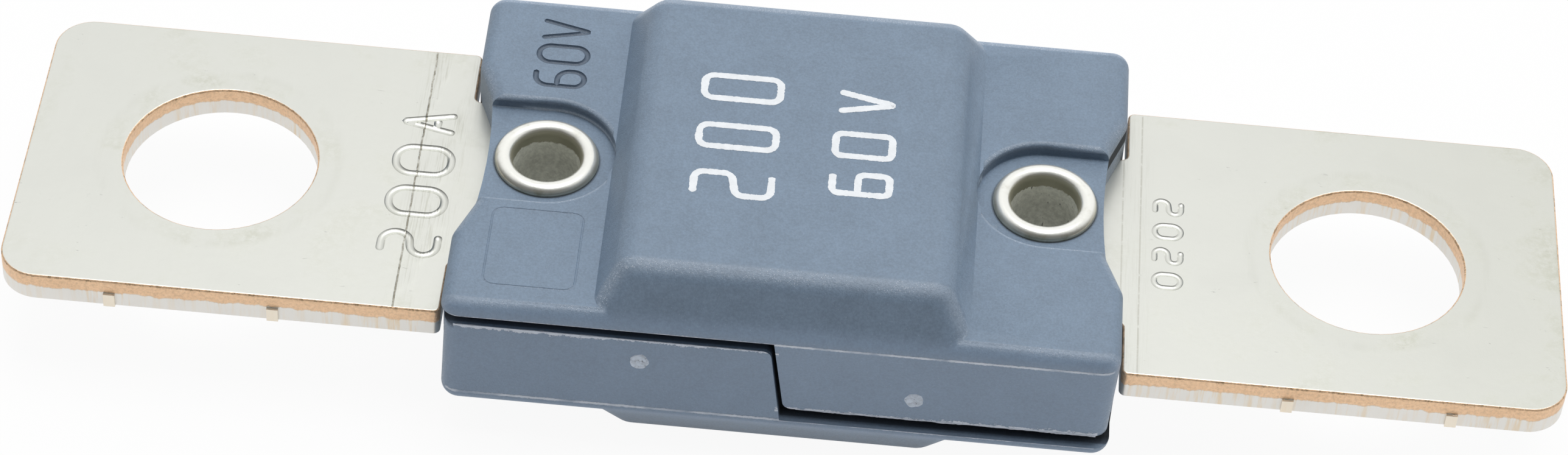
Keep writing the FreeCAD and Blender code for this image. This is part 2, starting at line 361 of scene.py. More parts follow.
def plastic_material(settings):
    """Grey-blue moulded plastic with a fine grain, and painted glints and a painted sheen on its
    rounded edges. Painted shade darkens the joint between the halves, the seat round each
    eyelet's rim, the seat steps and the sunk characters, and painted bounce light lightens
    the outer upright faces. It is pale and ragged along the mould's parting lines."""
    made, tree = material("moulded_plastic")
    place = millimetres(tree)
    x, y, z = split(tree, place)
    along, reach, level = abs(x), abs(y), abs(z)
    facing = split(tree, node(tree, "ShaderNodeNewGeometry", output="Normal"))
    sideways, upright = abs(facing[1]), abs(facing[2])

    # Tone, grain and scuffs, and painted glints and a painted sheen on the rounded edges
    cloud = cloudy(tree, place, 0.4, 3.0, 0.6)
    mottle = cloudy(tree, place, 3.0, 4.0, 0.7)
    grain = cloudy(tree, place, 9.0, 3.0, 0.7)
    rounded = sideways.rise(0.05, 0.28) * sideways.rise(0.8, 0.45)
    painted_sparkle_band = rounded * cloud.rise(0.3, 0.6)
    cells = node(tree, "ShaderNodeTexVoronoi", {"feature": "F1"}, {"Vector": place, "Scale": 17.0})
    chance = node(tree, "ShaderNodeSeparateColor", None, {0: cells.out("Color")})
    painted_glint = (chance + painted_sparkle_band * 0.4).rise(0.95, 0.99) * cells.rise(0.45, 0.15)
    streaks = stretched(tree, place, 0.5, 1.0, 1.0)
    scuff = cloudy(tree, streaks, 2.2, 5.0, 0.75, 0.6).rise(0.67, 0.76)
    tone = cloud.rise(0.3, 0.7) * 0.25 + mottle.rise(0.3, 0.7) * 0.3 + grain.rise(0.35, 0.65) * 0.45
    base = mix(tree, tone, shaded(settings.plastic, 0.82), shaded(settings.plastic, 1.18))
    # Scuffs are wear; the glints and the pale band along the rounded edges are painted highlights
    wear_and_painted_light = painted_glint * (0.22 + 0.8 * painted_sparkle_band) + scuff * (0.16 + 0.3 * rounded) + rounded * grain * 0.34
    base = mix(tree, wear_and_painted_light.least(1.0), base, settings.plastic_pale)

    # Flash; own is the level seen from the half whose skirt covers that quarter of the fuse
    own = (x * y).sign() * z
    torn = cloudy(tree, stretched(tree, place, 1.0, 1.0, 1.6), 3.4, 5.0, 0.8)
    drift = cloudy(tree, place, 0.5, 3.0, 0.6)
    presence = (0.25 + 0.75 * drift.rise(0.32, 0.55)) * torn.rise(0.24, 0.42)
    seam = abs(level - (PARTING - 0.03) + (torn - 0.5) * 0.2).rise(0.09, 0.045) * presence
    thick = along.rise(6.5, 8.5) * 0.07
    waver = (torn - 0.5) * 0.8 * drift.rise(0.25, 0.5)
    rim = (own - (SKIRT_END - 0.1) + thick + waver).rise(0.0, 0.03) * torn.rise(0.2, 0.36)
    rim = rim * own.rise(SKIRT_END - 0.35, SKIRT_END - 0.25)
    rim = rim * own.rise(SKIRT_END + 0.15, SKIRT_END + 0.05)
    outside = reach.rise(SIDE - 0.3, SIDE - 0.2) * sideways.rise(0.6, 0.8)
    pale = outside * (seam + rim).least(1.0)
    base = mix(tree, pale, base, settings.flash)

    # Painted shade in the joint between the halves and round the bottom of each eyelet's rim,
    # painted bounce light on the outer upright faces, and painted shade on the seat steps and in the
    # sunk characters
    joint = reach.rise(SIDE - 0.24, SIDE - 0.38) * level.rise(PARTING + 0.02, PARTING + 0.005)
    joint = joint * (own.rise(SKIRT_END - 0.06, SKIRT_END - 0.02) + along.rise(1.8, 1.6)).least(1.0)
    # Painted contact shade on the seat, round the bottom of each eyelet's rim
    seat = from_axes(x, y, EYELET_X).rise(RIM_RADIUS + 0.09, RIM_RADIUS + 0.01)
    seat = seat * level.rise(SEAT_TOP + 0.17, SEAT_TOP + 0.05)
    base = mix(tree, (joint + seat * 0.6).least(1.0) * 0.94, base, JOINT_SHADE)
    # Painted bounce light: the outer upright faces below the flange top turn lighter and bluer
    bounce_light_mask = reach.rise(8.9, 9.55) * level.rise(3.6, 2.6)
    base = mix(tree, bounce_light_mask * 0.2 * (1.0 - pale), base, PAINTED_BOUNCE_TINT)
    # Painted shade on the walls of the seat steps and in the sunk characters
    step = level.rise(SEAT_TOP + 0.03, SEAT_TOP + 0.09)
    step = step * level.rise(FLANGE_TOP - 0.02, FLANGE_TOP - 0.14)
    step = step * upright.rise(0.85, 0.45) * reach.rise(7.4, 7.0) * along.rise(13.7, 13.4)
    base = mix(tree, (sunk_faces(tree) * 0.7 + step * 0.5).least(1.0), base, SUNK_SHADE)

    height = grain * 0.6 + cells * 0.5 + painted_glint * 0.8 + pale * 2.0
    finish_shader(tree, {
        "Base Color": base,
        "Roughness": 0.45 + 0.14 * mottle - 0.2 * painted_glint + 0.1 * scuff + 0.3 * joint,
        "Normal": bump(tree, height, 0.03, 0.6),
        "IOR": 1.62,
    })
    return made


def pale_plastic_material(settings):
    """The same plastic where it is rough and stressed, on the gate marks."""
    made, tree = material("pale_plastic")
    place = millimetres(tree)
    blotch = cloudy(tree, place, 4.5, 4.0, 0.75)
    pits = cloudy(tree, place, 9.0, 3.0, 0.7).rise(0.38, 0.32)
    deep, light = shaded(settings.plastic_pale, 0.95), shaded(settings.plastic_pale, 1.27)
    base = mix(tree, blotch.rise(0.35, 0.62), deep, light)
    finish_shader(tree, {
        "Base Color": mix(tree, pits * 0.75, base, shaded(settings.plastic, 0.5)),
        "Roughness": 0.5 + 0.3 * blotch,
        "Normal": bump(tree, blotch - pits, 0.08, 0.8),
    })
    return made


def flash_material(settings):
    """Thin, stretched plastic of the flash."""
    made, tree = material("plastic_flash")
    torn = cloudy(tree, millimetres(tree), 5.0, 4.0, 0.75)
    finish_shader(tree, {
        "Base Color": mix(tree, torn.rise(0.3, 0.5), shaded(settings.flash, 0.75), settings.flash),
        "Roughness": 0.6,
    })
    return made


def ink_material(settings):
    """Printed ink, a little thinner in places."""
    made, tree = material("printed_ink")
    place = millimetres(tree)
    thin = cloudy(tree, place, 2.2, 4.0, 0.7).rise(0.38, 0.66)
    fine = cloudy(tree, place, 14.0, 2.0, 0.6)
    finish_shader(tree, {
        "Base Color": mix(tree, thin, shaded(settings.ink, 0.93), settings.ink),
        "Roughness": 0.52 + 0.16 * fine,
        "Normal": bump(tree, fine, 0.01, 0.5),
    })
    return made


def strip_material(settings):
    """Tin over copper: smudged and lightly rubbed faces, and cut edges with bare copper above."""
    made, tree = material("tinned_copper")
    place = millimetres(tree)
    x, y, z = split(tree, place)
    along, reach = abs(x), abs(y)
    upright = abs(split(tree, node(tree, "ShaderNodeNewGeometry", output="True Normal"))[2])
    tab = reach.rise(STRIP_SIDE + 0.005, STRIP_SIDE + 0.01)
    wall = (upright.rise(0.98, 0.9) * (1.0 - sunk_faces(tree))).most(tab)

    # Smudges, and the worn ring round each hole
    soft = cloudy(tree, place, 0.25, 3.0, 0.6, 0.4)
    smear = cloudy(tree, stretched(tree, place, 1.0, 0.12, 1.0), 1.3, 5.0, 0.65)
    drawn = cloudy(tree, stretched(tree, place, 8.0, 0.25, 1.0), 1.5, 3.0, 0.6)
    specks = cloudy(tree, place, 2.6, 5.0, 0.75)
    hole = from_axes(x, y, STUD_X) - STUD_RADIUS
    polished = hole.rise(-0.1, 0.4) * hole.rise(1.3, 0.7) * soft.rise(0.38, 0.62)
    burnish = hole.rise(0.6, 1.0) * hole.rise(1.4, 1.0) * smear.rise(0.4, 0.6)
    border = (STRIP_SIDE + 0.4 - reach).rise(1.6, 0.4) + (along - 31.5).rise(0.0, 2.4)
    smudge = soft.rise(0.46, 0.72) * (0.5 + 0.5 * border.least(1.0)) + polished * 0.6
    smudge = (smudge * specks.rise(0.25, 0.65)).least(1.0)
    dulled = smudge * 0.75 + burnish * 0.1 + x.rise(16.0, 34.0) * 0.22
    tone = mix(tree, dulled.least(1.0), settings.tin, settings.smudge)

    # Rubbed bands beside the housing, scratches, and the scribed lines
    patches = cloudy(tree, stretched(tree, place, 0.8, 0.3, 1.0), 0.9, 2.0, 0.5).rise(0.42, 0.6)
    inboard = abs(x + 16.0).rise(1.7, 0.5) * patches + abs(x - 15.2).rise(0.9, 0.4) * 0.3
    tone = mix(tree, inboard * drawn.rise(0.5, 0.66) * 0.5, tone, RUBBED_TIN)
    scratch = cloudy(tree, stretched(tree, place, 1.2, 5.0, 1.0), 1.1, 4.0, 0.7, 1.2).rise(0.71, 0.74)
    tone = mix(tree, scratch * 0.5, tone, SCRATCHED_TIN)
    wander = cloudy(tree, stretched(tree, place, 0.0, 0.8, 0.0), 1.0, 4.0, 0.7) - 0.5
    line = abs(x - SCRIBED_X + 0.16 * wander).rise(0.05, 0.015) * (0.4 + 0.6 * specks.rise(0.35, 0.6))
    faint = abs(x - 15.4).rise(0.05, 0.02) * 0.35 + abs(x - 14.6).rise(0.05, 0.02) * 0.3
    faint = faint * specks.rise(0.35, 0.5)
    tone = mix(tree, (line + faint).least(1.0) * 0.8, tone, SCRIBED_SHADE)

    # Cut edges: torn copper above, smeared tin below
    ragged = cloudy(tree, stretched(tree, place, 1.0, 1.0, 0.4), 1.2, 4.0, 0.7)
    cut = (z + (ragged - 0.5) * 0.5).rise(0.0, 0.09)
    torn = cloudy(tree, place, 6.0, 4.0, 0.75)
    bare = mix(tree, torn.rise(0.32, 0.6), shaded(settings.copper, 0.8), settings.copper)
    bare = mix(tree, torn.rise(0.58, 0.7) * 0.6, bare, TORN_COPPER)
    edge = z.rise(STRIP_TOP - 0.15, STRIP_TOP - 0.05)
    edge = edge * cloudy(tree, place, 3.2, 4.0, 0.8).rise(0.52, 0.6)
    bare = mix(tree, edge * 0.6, bare, DARK_COPPER)
    dragged = cloudy(tree, stretched(tree, place, 3.0, 3.0, 0.25), 1.6, 3.0, 0.6)
    warm = cloudy(tree, stretched(tree, place, 1.0, 1.0, 0.2), 0.45, 2.0, 0.5).rise(0.4, 0.65)
    smeared = mix(tree, dragged.rise(0.45, 0.7) * (0.25 + 0.75 * warm), SMEARED_TIN, WARM_TIN)
    smeared = mix(tree, tab * 0.8, smeared, TAB_TIN)
    side = mix(tree, cut * (1.0 - tab), smeared, bare)

    height = (1.0 - wall) * (specks * 0.4 + drawn * inboard * 2.0 + smear * 0.5 - line * 2.0 + scratch)
    height = height + wall * (torn * cut * 4.0 + dragged * 2.0) + burnish * 0.15
    finish_shader(tree, {
        "Base Color": mix(tree, wall, tone, side),
        "Metallic": 1.0 - wall * (0.25 + 0.05 * cut),
        "Roughness": 0.28 + 0.14 * smudge + 0.10 * soft + wall * 0.06,
        "Normal": bump(tree, height, 0.012, 0.8),
    })
    return made


def eyelet_material(settings):
    """Rolled, plated rim, tarnished and with painted shade at its outer and inner edges; inside the
    bore a dull band, and below its ragged edge a rough wall with painted shade towards its middle.
    """
    made, tree = material("plated_eyelet")
    place = millimetres(tree)
    x, y, z = split(tree, place)
    from_axis = from_axes(x, y, EYELET_X)
    inner = from_axis.rise(BORE_RADIUS + 0.1, BORE_RADIUS + 0.06)
    ragged = cloudy(tree, place, 2.6, 4.0, 0.7)
    level = abs(z) + (ragged - 0.5) * 0.5
    rough_wall = inner * level.rise(2.12, 2.05)
    stain = cloudy(tree, place, 1.1, 4.0, 0.65)
    fleck = cloudy(tree, place, 5.0, 4.0, 0.7)
    # Painted shade, tinted olive, on the rim's outer and inner edges, beside real stains
    rim_edge_tarnish_and_shade = from_axis.rise(RIM_RADIUS - 0.22, RIM_RADIUS - 0.02) * 0.75
    rim_edge_tarnish_and_shade = rim_edge_tarnish_and_shade + from_axis.rise(BORE_RADIUS + 0.16, BORE_RADIUS + 0.1) * 0.6
    wear_and_painted_light = (stain.rise(0.5, 0.75) * 0.35 + rim_edge_tarnish_and_shade).least(1.0)
    rim = mix(tree, wear_and_painted_light, settings.plating, TARNISH_AND_SHADE)
    # Random flecks, and painted shade that darkens the bore wall towards its middle
    flecks_and_depth_shade = fleck.rise(0.3, 0.7) * 0.5 + level.rise(0.9, 2.0) * 0.5
    bore = mix(tree, flecks_and_depth_shade, shaded(settings.bore_wall, 0.6), settings.bore_wall)
    streaks = cloudy(tree, stretched(tree, place, 2.0, 2.0, 0.5), 3.0, 3.0, 0.6).rise(0.66, 0.70)
    bore = mix(tree, streaks * x.rise(9.0, 10.0) * 0.85, bore, BORE_STREAK)
    tone = mix(tree, inner, rim, settings.bore_band)
    tone = mix(tree, rough_wall, tone, bore)
    finish_shader(tree, {
        "Base Color": tone,
        "Metallic": 0.62 - 0.17 * inner - 0.05 * rough_wall,
        "Roughness": 0.2 + 0.1 * stain + 0.15 * inner + 0.35 * rough_wall,
        "Normal": bump(tree, fleck * (0.3 + 1.6 * rough_wall) + stain * 0.5, 0.02, 0.8),
    })
    return made


def pellet_material():
    """Dull cast tin."""
    made, tree = material("tin_spot")
    skin = cloudy(tree, millimetres(tree), 2.5, 4.0, 0.6)
    finish_shader(tree, {
        "Base Color": mix(tree, skin, *CAST_TIN),
        "Metallic": 1.0,
        "Roughness": 0.35 + 0.2 * skin,
        "Normal": bump(tree, skin, 0.03, 0.6),
    })
    return made


# Geometry trees


def group_inputs(tree, *wanted):
    """Gives a tree its inputs, each a name, a kind and perhaps a default, and its output."""
    for name, kind, *default in wanted:
        socket = tree.interface.new_socket(name=name, in_out="INPUT", socket_type="NodeSocket" + kind)
        if default:
            socket.default_value = default[0]
    tree.interface.new_socket(name="Geometry", in_out="OUTPUT", socket_type="NodeSocketGeometry")
    return node(tree, "NodeGroupInput")


def seeded_place(tree, seed, axis, stride):
    """Positions moved along an axis by a seed, so that another seed gives another pattern."""
    place = node(tree, "GeometryNodeInputPosition")
    offset = node(tree, "ShaderNodeCombineXYZ", None, {axis: seed * (stride * MM)})
    return node(tree, "ShaderNodeVectorMath", {"operation": "ADD"}, {0: place, 1: offset})


def resampled(tree, line, step):
    """A line with points a step apart."""
    return node(tree, "GeometryNodeResampleCurve", {"mode": "LENGTH"}, {"Curve": line, "Length": step})


def swept(tree, line, section):
    """A section swept along a line, scaled at each point by the line's radius."""
    thickness = node(tree, "GeometryNodeInputRadius")
    return node(
        tree, "GeometryNodeCurveToMesh", None,
        {"Curve": line, "Profile Curve": section, "Scale": thickness, "Fill Caps": True},
    )


def finish_tree(tree, solid, finish):
    """Ends a tree with plain geometry in its material."""
    solid = node(tree, "GeometryNodeRealizeInstances", None, {0: solid})
    solid = node(tree, "GeometryNodeSetMaterial", None, {"Geometry": solid, "Material": finish})
    node(tree, "NodeGroupOutput", None, {0: solid})
    return tree


def stroke_tree():
    """Sweeps a flat or a round section along strokes, with rounded corners and ends."""
    tree = bpy.data.node_groups.new("swept_strokes", "GeometryNodeTree")
    given = group_inputs(
        tree,
        ("Strokes", "Geometry"),
        ("Width", "Float", 0.27 * MM),
        ("Depth", "Float", 0.1 * MM),
        ("Step", "Float", 0.06 * MM),
        ("Round Section", "Bool", False),
        ("Ragged", "Float", 0.0),
        ("Ceiling", "Float", 1.0),
        ("Seed", "Int", 0),
        ("Material", "Material"),
    )
    width, half, depth = given.out("Width"), given.out("Width") / 2.0, given.out("Depth")
    line = node(tree, "GeometryNodeMeshToCurve", None, {"Mesh": given.out("Strokes")})
    corner = node(tree, "GeometryNodeInputNamedAttribute", {"data_type": "FLOAT"}, {"Name": "corner"})
    line = node(
        tree, "GeometryNodeFilletCurve", {"mode": "POLY"},
        {"Curve": line, "Count": 8, "Radius": corner, "Limit Radius": True},
    )
    line = resampled(tree, line, given.out("Step"))
    line = node(tree, "GeometryNodeSetCurveNormal", {"mode": "Z_UP"}, {"Curve": line})

    # Full width along the stroke, half a circle at its open ends, and an uneven edge
    way = node(tree, "GeometryNodeSplineParameter")
    along = way.out("Length")
    whole = node(tree, "GeometryNodeSplineLength").out("Length")
    from_end = (along.least(whole - along) / half).least(1.0)
    from_end = from_end.most(node(tree, "GeometryNodeInputSplineCyclic"))
    rounded = (1.0 - (1.0 - from_end) ** 2.0).most(0.004) ** 0.5
    uneven = cloudy(tree, seeded_place(tree, given.out("Seed"), "Z", 3.7), 5.0 / MM, 3.0, 0.8)
    radius = rounded * (1.0 + (uneven - 0.5) * given.out("Ragged") * 2.0)
    line = node(tree, "GeometryNodeSetCurveRadius", None, {"Curve": line, "Radius": radius})
    line = node(
        tree, "GeometryNodeStoreNamedAttribute", {"data_type": "FLOAT", "domain": "POINT"},
        {"Geometry": line, "Name": "way", "Value": way.out("Factor")},
    )

    flat = node(
        tree, "GeometryNodeCurvePrimitiveQuadrilateral", None, {"Width": width, "Height": depth * 2.0}
    )
    circle = node(tree, "GeometryNodeCurvePrimitiveCircle", None, {"Resolution": 12, "Radius": half})
    squeeze = node(tree, "ShaderNodeCombineXYZ", None, {"X": 1.0, "Y": depth / half, "Z": 1.0})
    circle = node(tree, "GeometryNodeTransform", None, {"Geometry": circle, "Scale": squeeze})
    section = node(
        tree, "GeometryNodeSwitch", {"input_type": "GEOMETRY"},
        {"Switch": given.out("Round Section"), "False": flat, "True": circle},
    )
    solid = swept(tree, line, section)

    # The top is cut level, and falls a hair along each stroke, so that crossings don't coincide
    x, y, z = split(tree, node(tree, "GeometryNodeInputPosition"))
    gone = node(tree, "GeometryNodeInputNamedAttribute", {"data_type": "FLOAT"}, {"Name": "way"})
    ceiling = given.out("Ceiling") - gone * (0.004 * MM)
    capped = node(tree, "ShaderNodeCombineXYZ", None, {"X": x, "Y": y, "Z": z.least(ceiling)})
    solid = node(tree, "GeometryNodeSetPosition", None, {"Geometry": solid, "Position": capped})
    return finish_tree(tree, solid, given.out("Material"))


def flash_tree():
    """Uneven thread of flash along an edge, thinned out to nothing in places."""
    tree = bpy.data.node_groups.new("edge_flash", "GeometryNodeTree")
    given = group_inputs(
        tree,
        ("Edges", "Geometry"),
        ("Radius", "Float", 0.035 * MM),
        ("Step", "Float", 0.09 * MM),
        ("Seed", "Int", 0),
        ("Material", "Material"),
    )
    largest = given.out("Radius")
    line = node(tree, "GeometryNodeMeshToCurve", None, {"Mesh": given.out("Edges")})
    line = resampled(tree, line, given.out("Step"))
    place = seeded_place(tree, given.out("Seed"), "Y", 5.3)
    coarse = cloudy(tree, place, 0.55 / MM, 3.0, 0.6)
    fine = cloudy(tree, place, 4.0 / MM, 3.0, 0.8)
    thinned = ((0.35 + 0.65 * coarse.rise(0.40, 0.58)) * fine.rise(0.2, 0.7)).most(0.05)
    line = node(tree, "GeometryNodeSetCurveRadius", None, {"Curve": line, "Radius": thinned})
    sway = node(tree, "ShaderNodeCombineXYZ", None, {"Z": (fine - 0.5) * largest})
    line = node(tree, "GeometryNodeSetPosition", None, {"Geometry": line, "Offset": sway})
    section = node(
        tree, "GeometryNodeCurvePrimitiveCircle", None, {"Resolution": 5, "Radius": largest}
    )
    return finish_tree(tree, swept(tree, line, section), given.out("Material"))


# Pieces


def link(piece):
    bpy.context.scene.collection.objects.link(piece)
    return piece


def mesh_piece(name, vertices, edges=(), faces=()):
    """A piece from points in millimetres."""
    mesh = bpy.data.meshes.new(name)
    mesh.from_pydata([tuple(value * MM for value in vertex) for vertex in vertices], edges, faces)
    return link(bpy.data.objects.new(name, mesh))


@contextmanager
def editing(mesh):
    """Opens a mesh for editing, and writes it back at the end."""
    build = bmesh.new()
    build.from_mesh(mesh)
    yield build
    build.to_mesh(mesh)
    build.free()


def settle(piece):
    """Turns a piece's modifiers into its plain mesh."""
    seen = piece.evaluated_get(bpy.context.evaluated_depsgraph_get())
    mesh = bpy.data.meshes.new_from_object(seen)
    piece.modifiers.clear()
    piece.data = mesh
    mesh.name = piece.name


def from_tree(piece, tree, inputs):
    """Runs a geometry tree on a piece and keeps the result as its plain mesh."""
    modifier = piece.modifiers.new(tree.name, "NODES")
    modifier.node_group = tree
    identifiers = {item.name: item.identifier for item in tree.interface.items_tree}
    for name, value in inputs.items():
        modifier[identifiers[name]] = value
    settle(piece)


def keep(piece, slot=None, *nodes):
    """Puts a finished piece on the fuse, in place of the solids it stands for."""
    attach(piece, BODY)
    if nodes:
        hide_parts(*nodes)


def discard(piece):
    bpy.data.objects.remove(piece)


def dress(piece, finish):
    """Gives a piece one material."""
    piece.data.materials.clear()
    piece.data.materials.append(finish)


def joined_copy(name, source):
    """A copy of a solid's mesh with its loose triangles joined up."""
    piece = link(bpy.data.objects.new(name, source.data.copy()))
    with editing(piece.data) as build:
        bmesh.ops.remove_doubles(build, verts=build.verts, dist=0.0004 * MM)
        bmesh.ops.dissolve_limit(
            build, angle_limit=math.radians(0.3), verts=build.verts, edges=build.edges,
            delimit={"NORMAL"},
        )
    return piece


def turned_over(name, piece):
    """A copy of a piece, turned over about the strip's length."""
    copy = link(bpy.data.objects.new(name, piece.data.copy()))
    copy.data.transform(Matrix.Rotation(math.pi, 4, "X"))
    return copy


def smooth(piece):
    """Smooth shading up to the sharp angle, with flat faces kept flat and sharp borders where
    a character is sunk."""
    piece.data.shade_smooth()
    piece.data.set_sharp_from_angle(angle=SHARP_ANGLE)
    with editing(piece.data) as build:
        sunk = build.faces.layers.float["sunk"]
        for edge in build.edges:
            if len({face[sunk] for face in edge.link_faces}) > 1:
                edge.smooth = False
    weighted = piece.modifiers.new("weighted", "WEIGHTED_NORMAL")
    weighted.keep_sharp = True
    weighted.weight = 100
    settle(piece)


def carve(piece, cutter, mark):
    """Takes a cutter out of a piece. The faces that the cutter leaves get the mark."""
    if "sunk" not in piece.data.attributes:
        piece.data.attributes.new("sunk", "FLOAT", "FACE")
    before, after = bpy.data.materials.new("before"), bpy.data.materials.new("after")
    dress(piece, before)
    dress(cutter, after)
    cut = piece.modifiers.new("carve", "BOOLEAN")
    cut.operation = "DIFFERENCE"
    cut.solver = "EXACT"
    cut.use_self = True
    cut.material_mode = "TRANSFER"
    cut.object = cutter
    settle(piece)
    discard(cutter)
    mesh = piece.data
    place = list(mesh.materials).index(after)
    values = mesh.attributes["sunk"].data
    for face in mesh.polygons:
        if face.material_index == place:
            values[face.index].value = mark
            face.material_index = 0
    mesh.materials.clear()
    bpy.data.materials.remove(before)
    bpy.data.materials.remove(after)
    close_top(mesh)


def close_top(mesh):
    """Fills the flat spots inside closed strokes that carving can leave open."""
    with editing(mesh) as build:
        sunk = build.faces.layers.float["sunk"]
        rim = [edge for edge in build.edges if edge.is_boundary]
        for face in bmesh.ops.holes_fill(build, edges=rim)["faces"]:
            face[sunk] = 0.0
            face.normal_update()
            if face.normal.z < 0:
                face.normal_flip()


# Strokes of the characters on a unit square; a trailing True closes a stroke
CHARACTERS = {
    "0": [[(0, 0), (1, 0), (1, 1), (0, 1), True]],
    "1": [[(0.25, 0.78), (0.6, 1), (0.6, 0)]],
    "2": [[(0, 1), (1, 1), (1, 0.52), (0, 0.45), (0, 0), (1, 0)]],
    "3": [[(0, 1), (1, 1), (1, 0), (0, 0)], [(0.25, 0.52), (0.95, 0.52)]],
    "4": [[(0.72, 0), (0.72, 1), (0, 0.3), (1, 0.3)]],
    "5": [[(1, 1), (0, 1), (0, 0.55), (1, 0.55), (1, 0), (0, 0)]],
    "6": [[(0.95, 1), (0, 1), (0, 0), (1, 0), (1, 0.55), (0.08, 0.55)]],
    "7": [[(0, 1), (1, 1), (0.35, 0)]],
    "8": [[(0, 0), (1, 0), (1, 1), (0, 1), True], [(0.08, 0.52), (0.92, 0.52)]],
    "9": [[(0.05, 0), (1, 0), (1, 1), (0, 1), (0, 0.45), (0.92, 0.45)]],
    "A": [[(0, 0), (0.5, 1), (1, 0)], [(0.2, 0.36), (0.8, 0.36)]],
    "V": [[(0, 1), (0.5, 0), (1, 1)]],
}

# Characters whose corners are pointed, and the radius of a pointed corner in millimetres
POINTED = "147AV"
POINT = 0.04


def strokes(name, vertices, edges, corners):
    """Mesh of stroke lines, with the radius of each corner kept on its point."""
    piece = mesh_piece(name, vertices, edges)
    attribute = piece.data.attributes.new("corner", "FLOAT", "POINT")
    attribute.data.foreach_set("value", [radius * MM for radius in corners])
    return piece


def lettering(name, text, spans, top, bottom, level, inset, corner):
    """Strokes of a text that runs along +Y with its tops towards -X. Each span is the room
    of one character along Y, and inset is half the stroke's width. All in millimetres."""
    vertices, edges, corners = [], [], []
    for character, (start, end) in zip(text, spans):
        for stroke in CHARACTERS[character]:
            closed = stroke[-1] is True
            points = stroke[:-1] if closed else stroke
            first = len(vertices)
            for u, v in points:
                y = start + inset + u * (end - start - 2 * inset)
                x = bottom - inset - v * (bottom - top - 2 * inset)
                vertices.append((x, y, level))
                corners.append(POINT if character in POINTED else corner)
            count = len(points)
            edges += [(first + i, first + i + 1) for i in range(count - 1)]
            if closed:
                edges.append((first + count - 1, first))
    return strokes(name, vertices, edges, corners)


def sink(piece, lines, width, depth, step, mark):
    """Sinks stroke lines into a piece with a round section, and marks the new faces."""
    from_tree(lines, bpy.data.node_groups["swept_strokes"], {
        "Width": width, "Depth": depth, "Step": step * MM, "Round Section": True,
    })
    carve(piece, lines, mark)


class FUSE_OT_housing(bpy.types.Operator):
    """Builds the two moulded halves with their sunk characters"""

    bl_idname = "fuse.housing"
    bl_label = "Housing halves"

    def execute(self, context):
        settings = context.scene.fuse_housing
        upper = joined_copy("moulded_half_upper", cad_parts["upper_housing"])
        # The hump's top sinks by the printed film, so that the print ends at the solid's height
        for vertex in upper.data.vertices:
            if vertex.co.z > (HUMP_TOP - 0.0005) * MM:
                vertex.co.z -= settings.film
        spans = [(3.9, 5.12), (5.38, 6.7), (6.92, 8.3)]
        half = settings.letter_width / MM / 2
        letters = lettering("moulded_letters", "60V", spans, -12.13, -9.7, FLANGE_TOP, half, 0.55)
        sink(upper, letters, settings.letter_width, settings.letter_depth, 0.05, 1.0)
        corners = [(-12.9, -8.3), (-8.95, -8.3), (-8.95, -3.75), (-12.9, -3.75)]
        vertices = [(x, y, FLANGE_TOP) for x, y in corners]
        outline = strokes("frame_line", vertices, [(0, 1), (1, 2), (2, 3), (3, 0)], [0.45] * 4)
        sink(upper, outline, settings.frame_width, settings.frame_depth, 0.2, 0.1)
        smooth(upper)
        dress(upper, plastic_material(settings))
        lower = turned_over("moulded_half_lower", upper)
        keep(upper, "housing", "upper_housing")
        keep(lower, "housing", "lower_housing")
        return {"FINISHED"}


class FUSE_OT_moulding_marks(bpy.types.Operator):
    """Adds the gate marks and the flash that moulding leaves on the halves"""

    bl_idname = "fuse.moulding_marks"
    bl_label = "Gate marks and flash"

    def execute(self, context):
        settings = context.scene.fuse_housing
        face = -skirt_face(-SKIRT_END)
        ends = [(turn * x, turn * face, -SKIRT_END) for turn in (1, -1) for x in (0.9, 13.9)]
        threads = mesh_piece("flash_upper", ends, [(0, 1), (2, 3)])
        from_tree(threads, flash_tree(), {
            "Radius": settings.flash_size, "Seed": 3, "Material": flash_material(settings),
        })

        both = bmesh.new()
        for turn in (0.0, math.pi):
            mark = gate_mark(settings.gate_radius / MM)
            mark.data.transform(Matrix.Rotation(turn, 4, "Z"))
            both.from_mesh(mark.data)
            discard(mark)
        marks = mesh_piece("gate_marks_upper", [])
        both.to_mesh(marks.data)
        both.free()
        dress(marks, pale_plastic_material(settings))

        for piece, name in ((threads, "flash_lower"), (marks, "gate_marks_lower")):
            piece.data.shade_smooth()
            turned = turned_over(name, piece)
            keep(piece, "housing")
            keep(turned, "housing")
        return {"FINISHED"}


def skirt_face(level):
    """Distance of a skirt's outer face from the middle of the strip's width, at a level."""
    return SIDE - (PARTING - level) * DRAFT


def gate_mark(radius):
    """Rough, slightly raised disc on a skirt's front face."""
    rings, around = 6, 36
    vertices, faces = [], []
    for ring in range(rings + 1):
        for step in range(around):
            angle = 2 * math.pi * step / around
            outline = noise.noise(Vector((math.cos(angle), math.sin(angle), GATE_X)) * 1.7)
            reach = radius * (1 + 0.18 * outline) * (ring + 0.02) / (rings + 0.02)
            x = GATE_X + reach * math.cos(angle)
            z = GATE_Z + reach * math.sin(angle)
            rough = noise.noise(Vector((x, z, 3.1)) * 6.0)
            rise = 0.045 * (1 - (ring / rings) ** 4) * (0.75 + 0.5 * rough)
            # The outermost ring lies just inside the skirt
            if ring == rings:
                rise -= 0.02
            vertices.append((x, -skirt_face(z) - rise, z))
    for ring in range(rings):
        for step in range(around):
            a = ring * around + step
            b = ring * around + (step + 1) % around
            faces.append((a, b, b + around, a + around))
    faces.append(tuple(reversed(range(around))))
    piece = mesh_piece("gate_mark", vertices, (), faces)
    with editing(piece.data) as build:
        bmesh.ops.holes_fill(build, edges=[edge for edge in build.edges if edge.is_boundary])
        bmesh.ops.recalc_face_normals(build, faces=build.faces)
    return piece


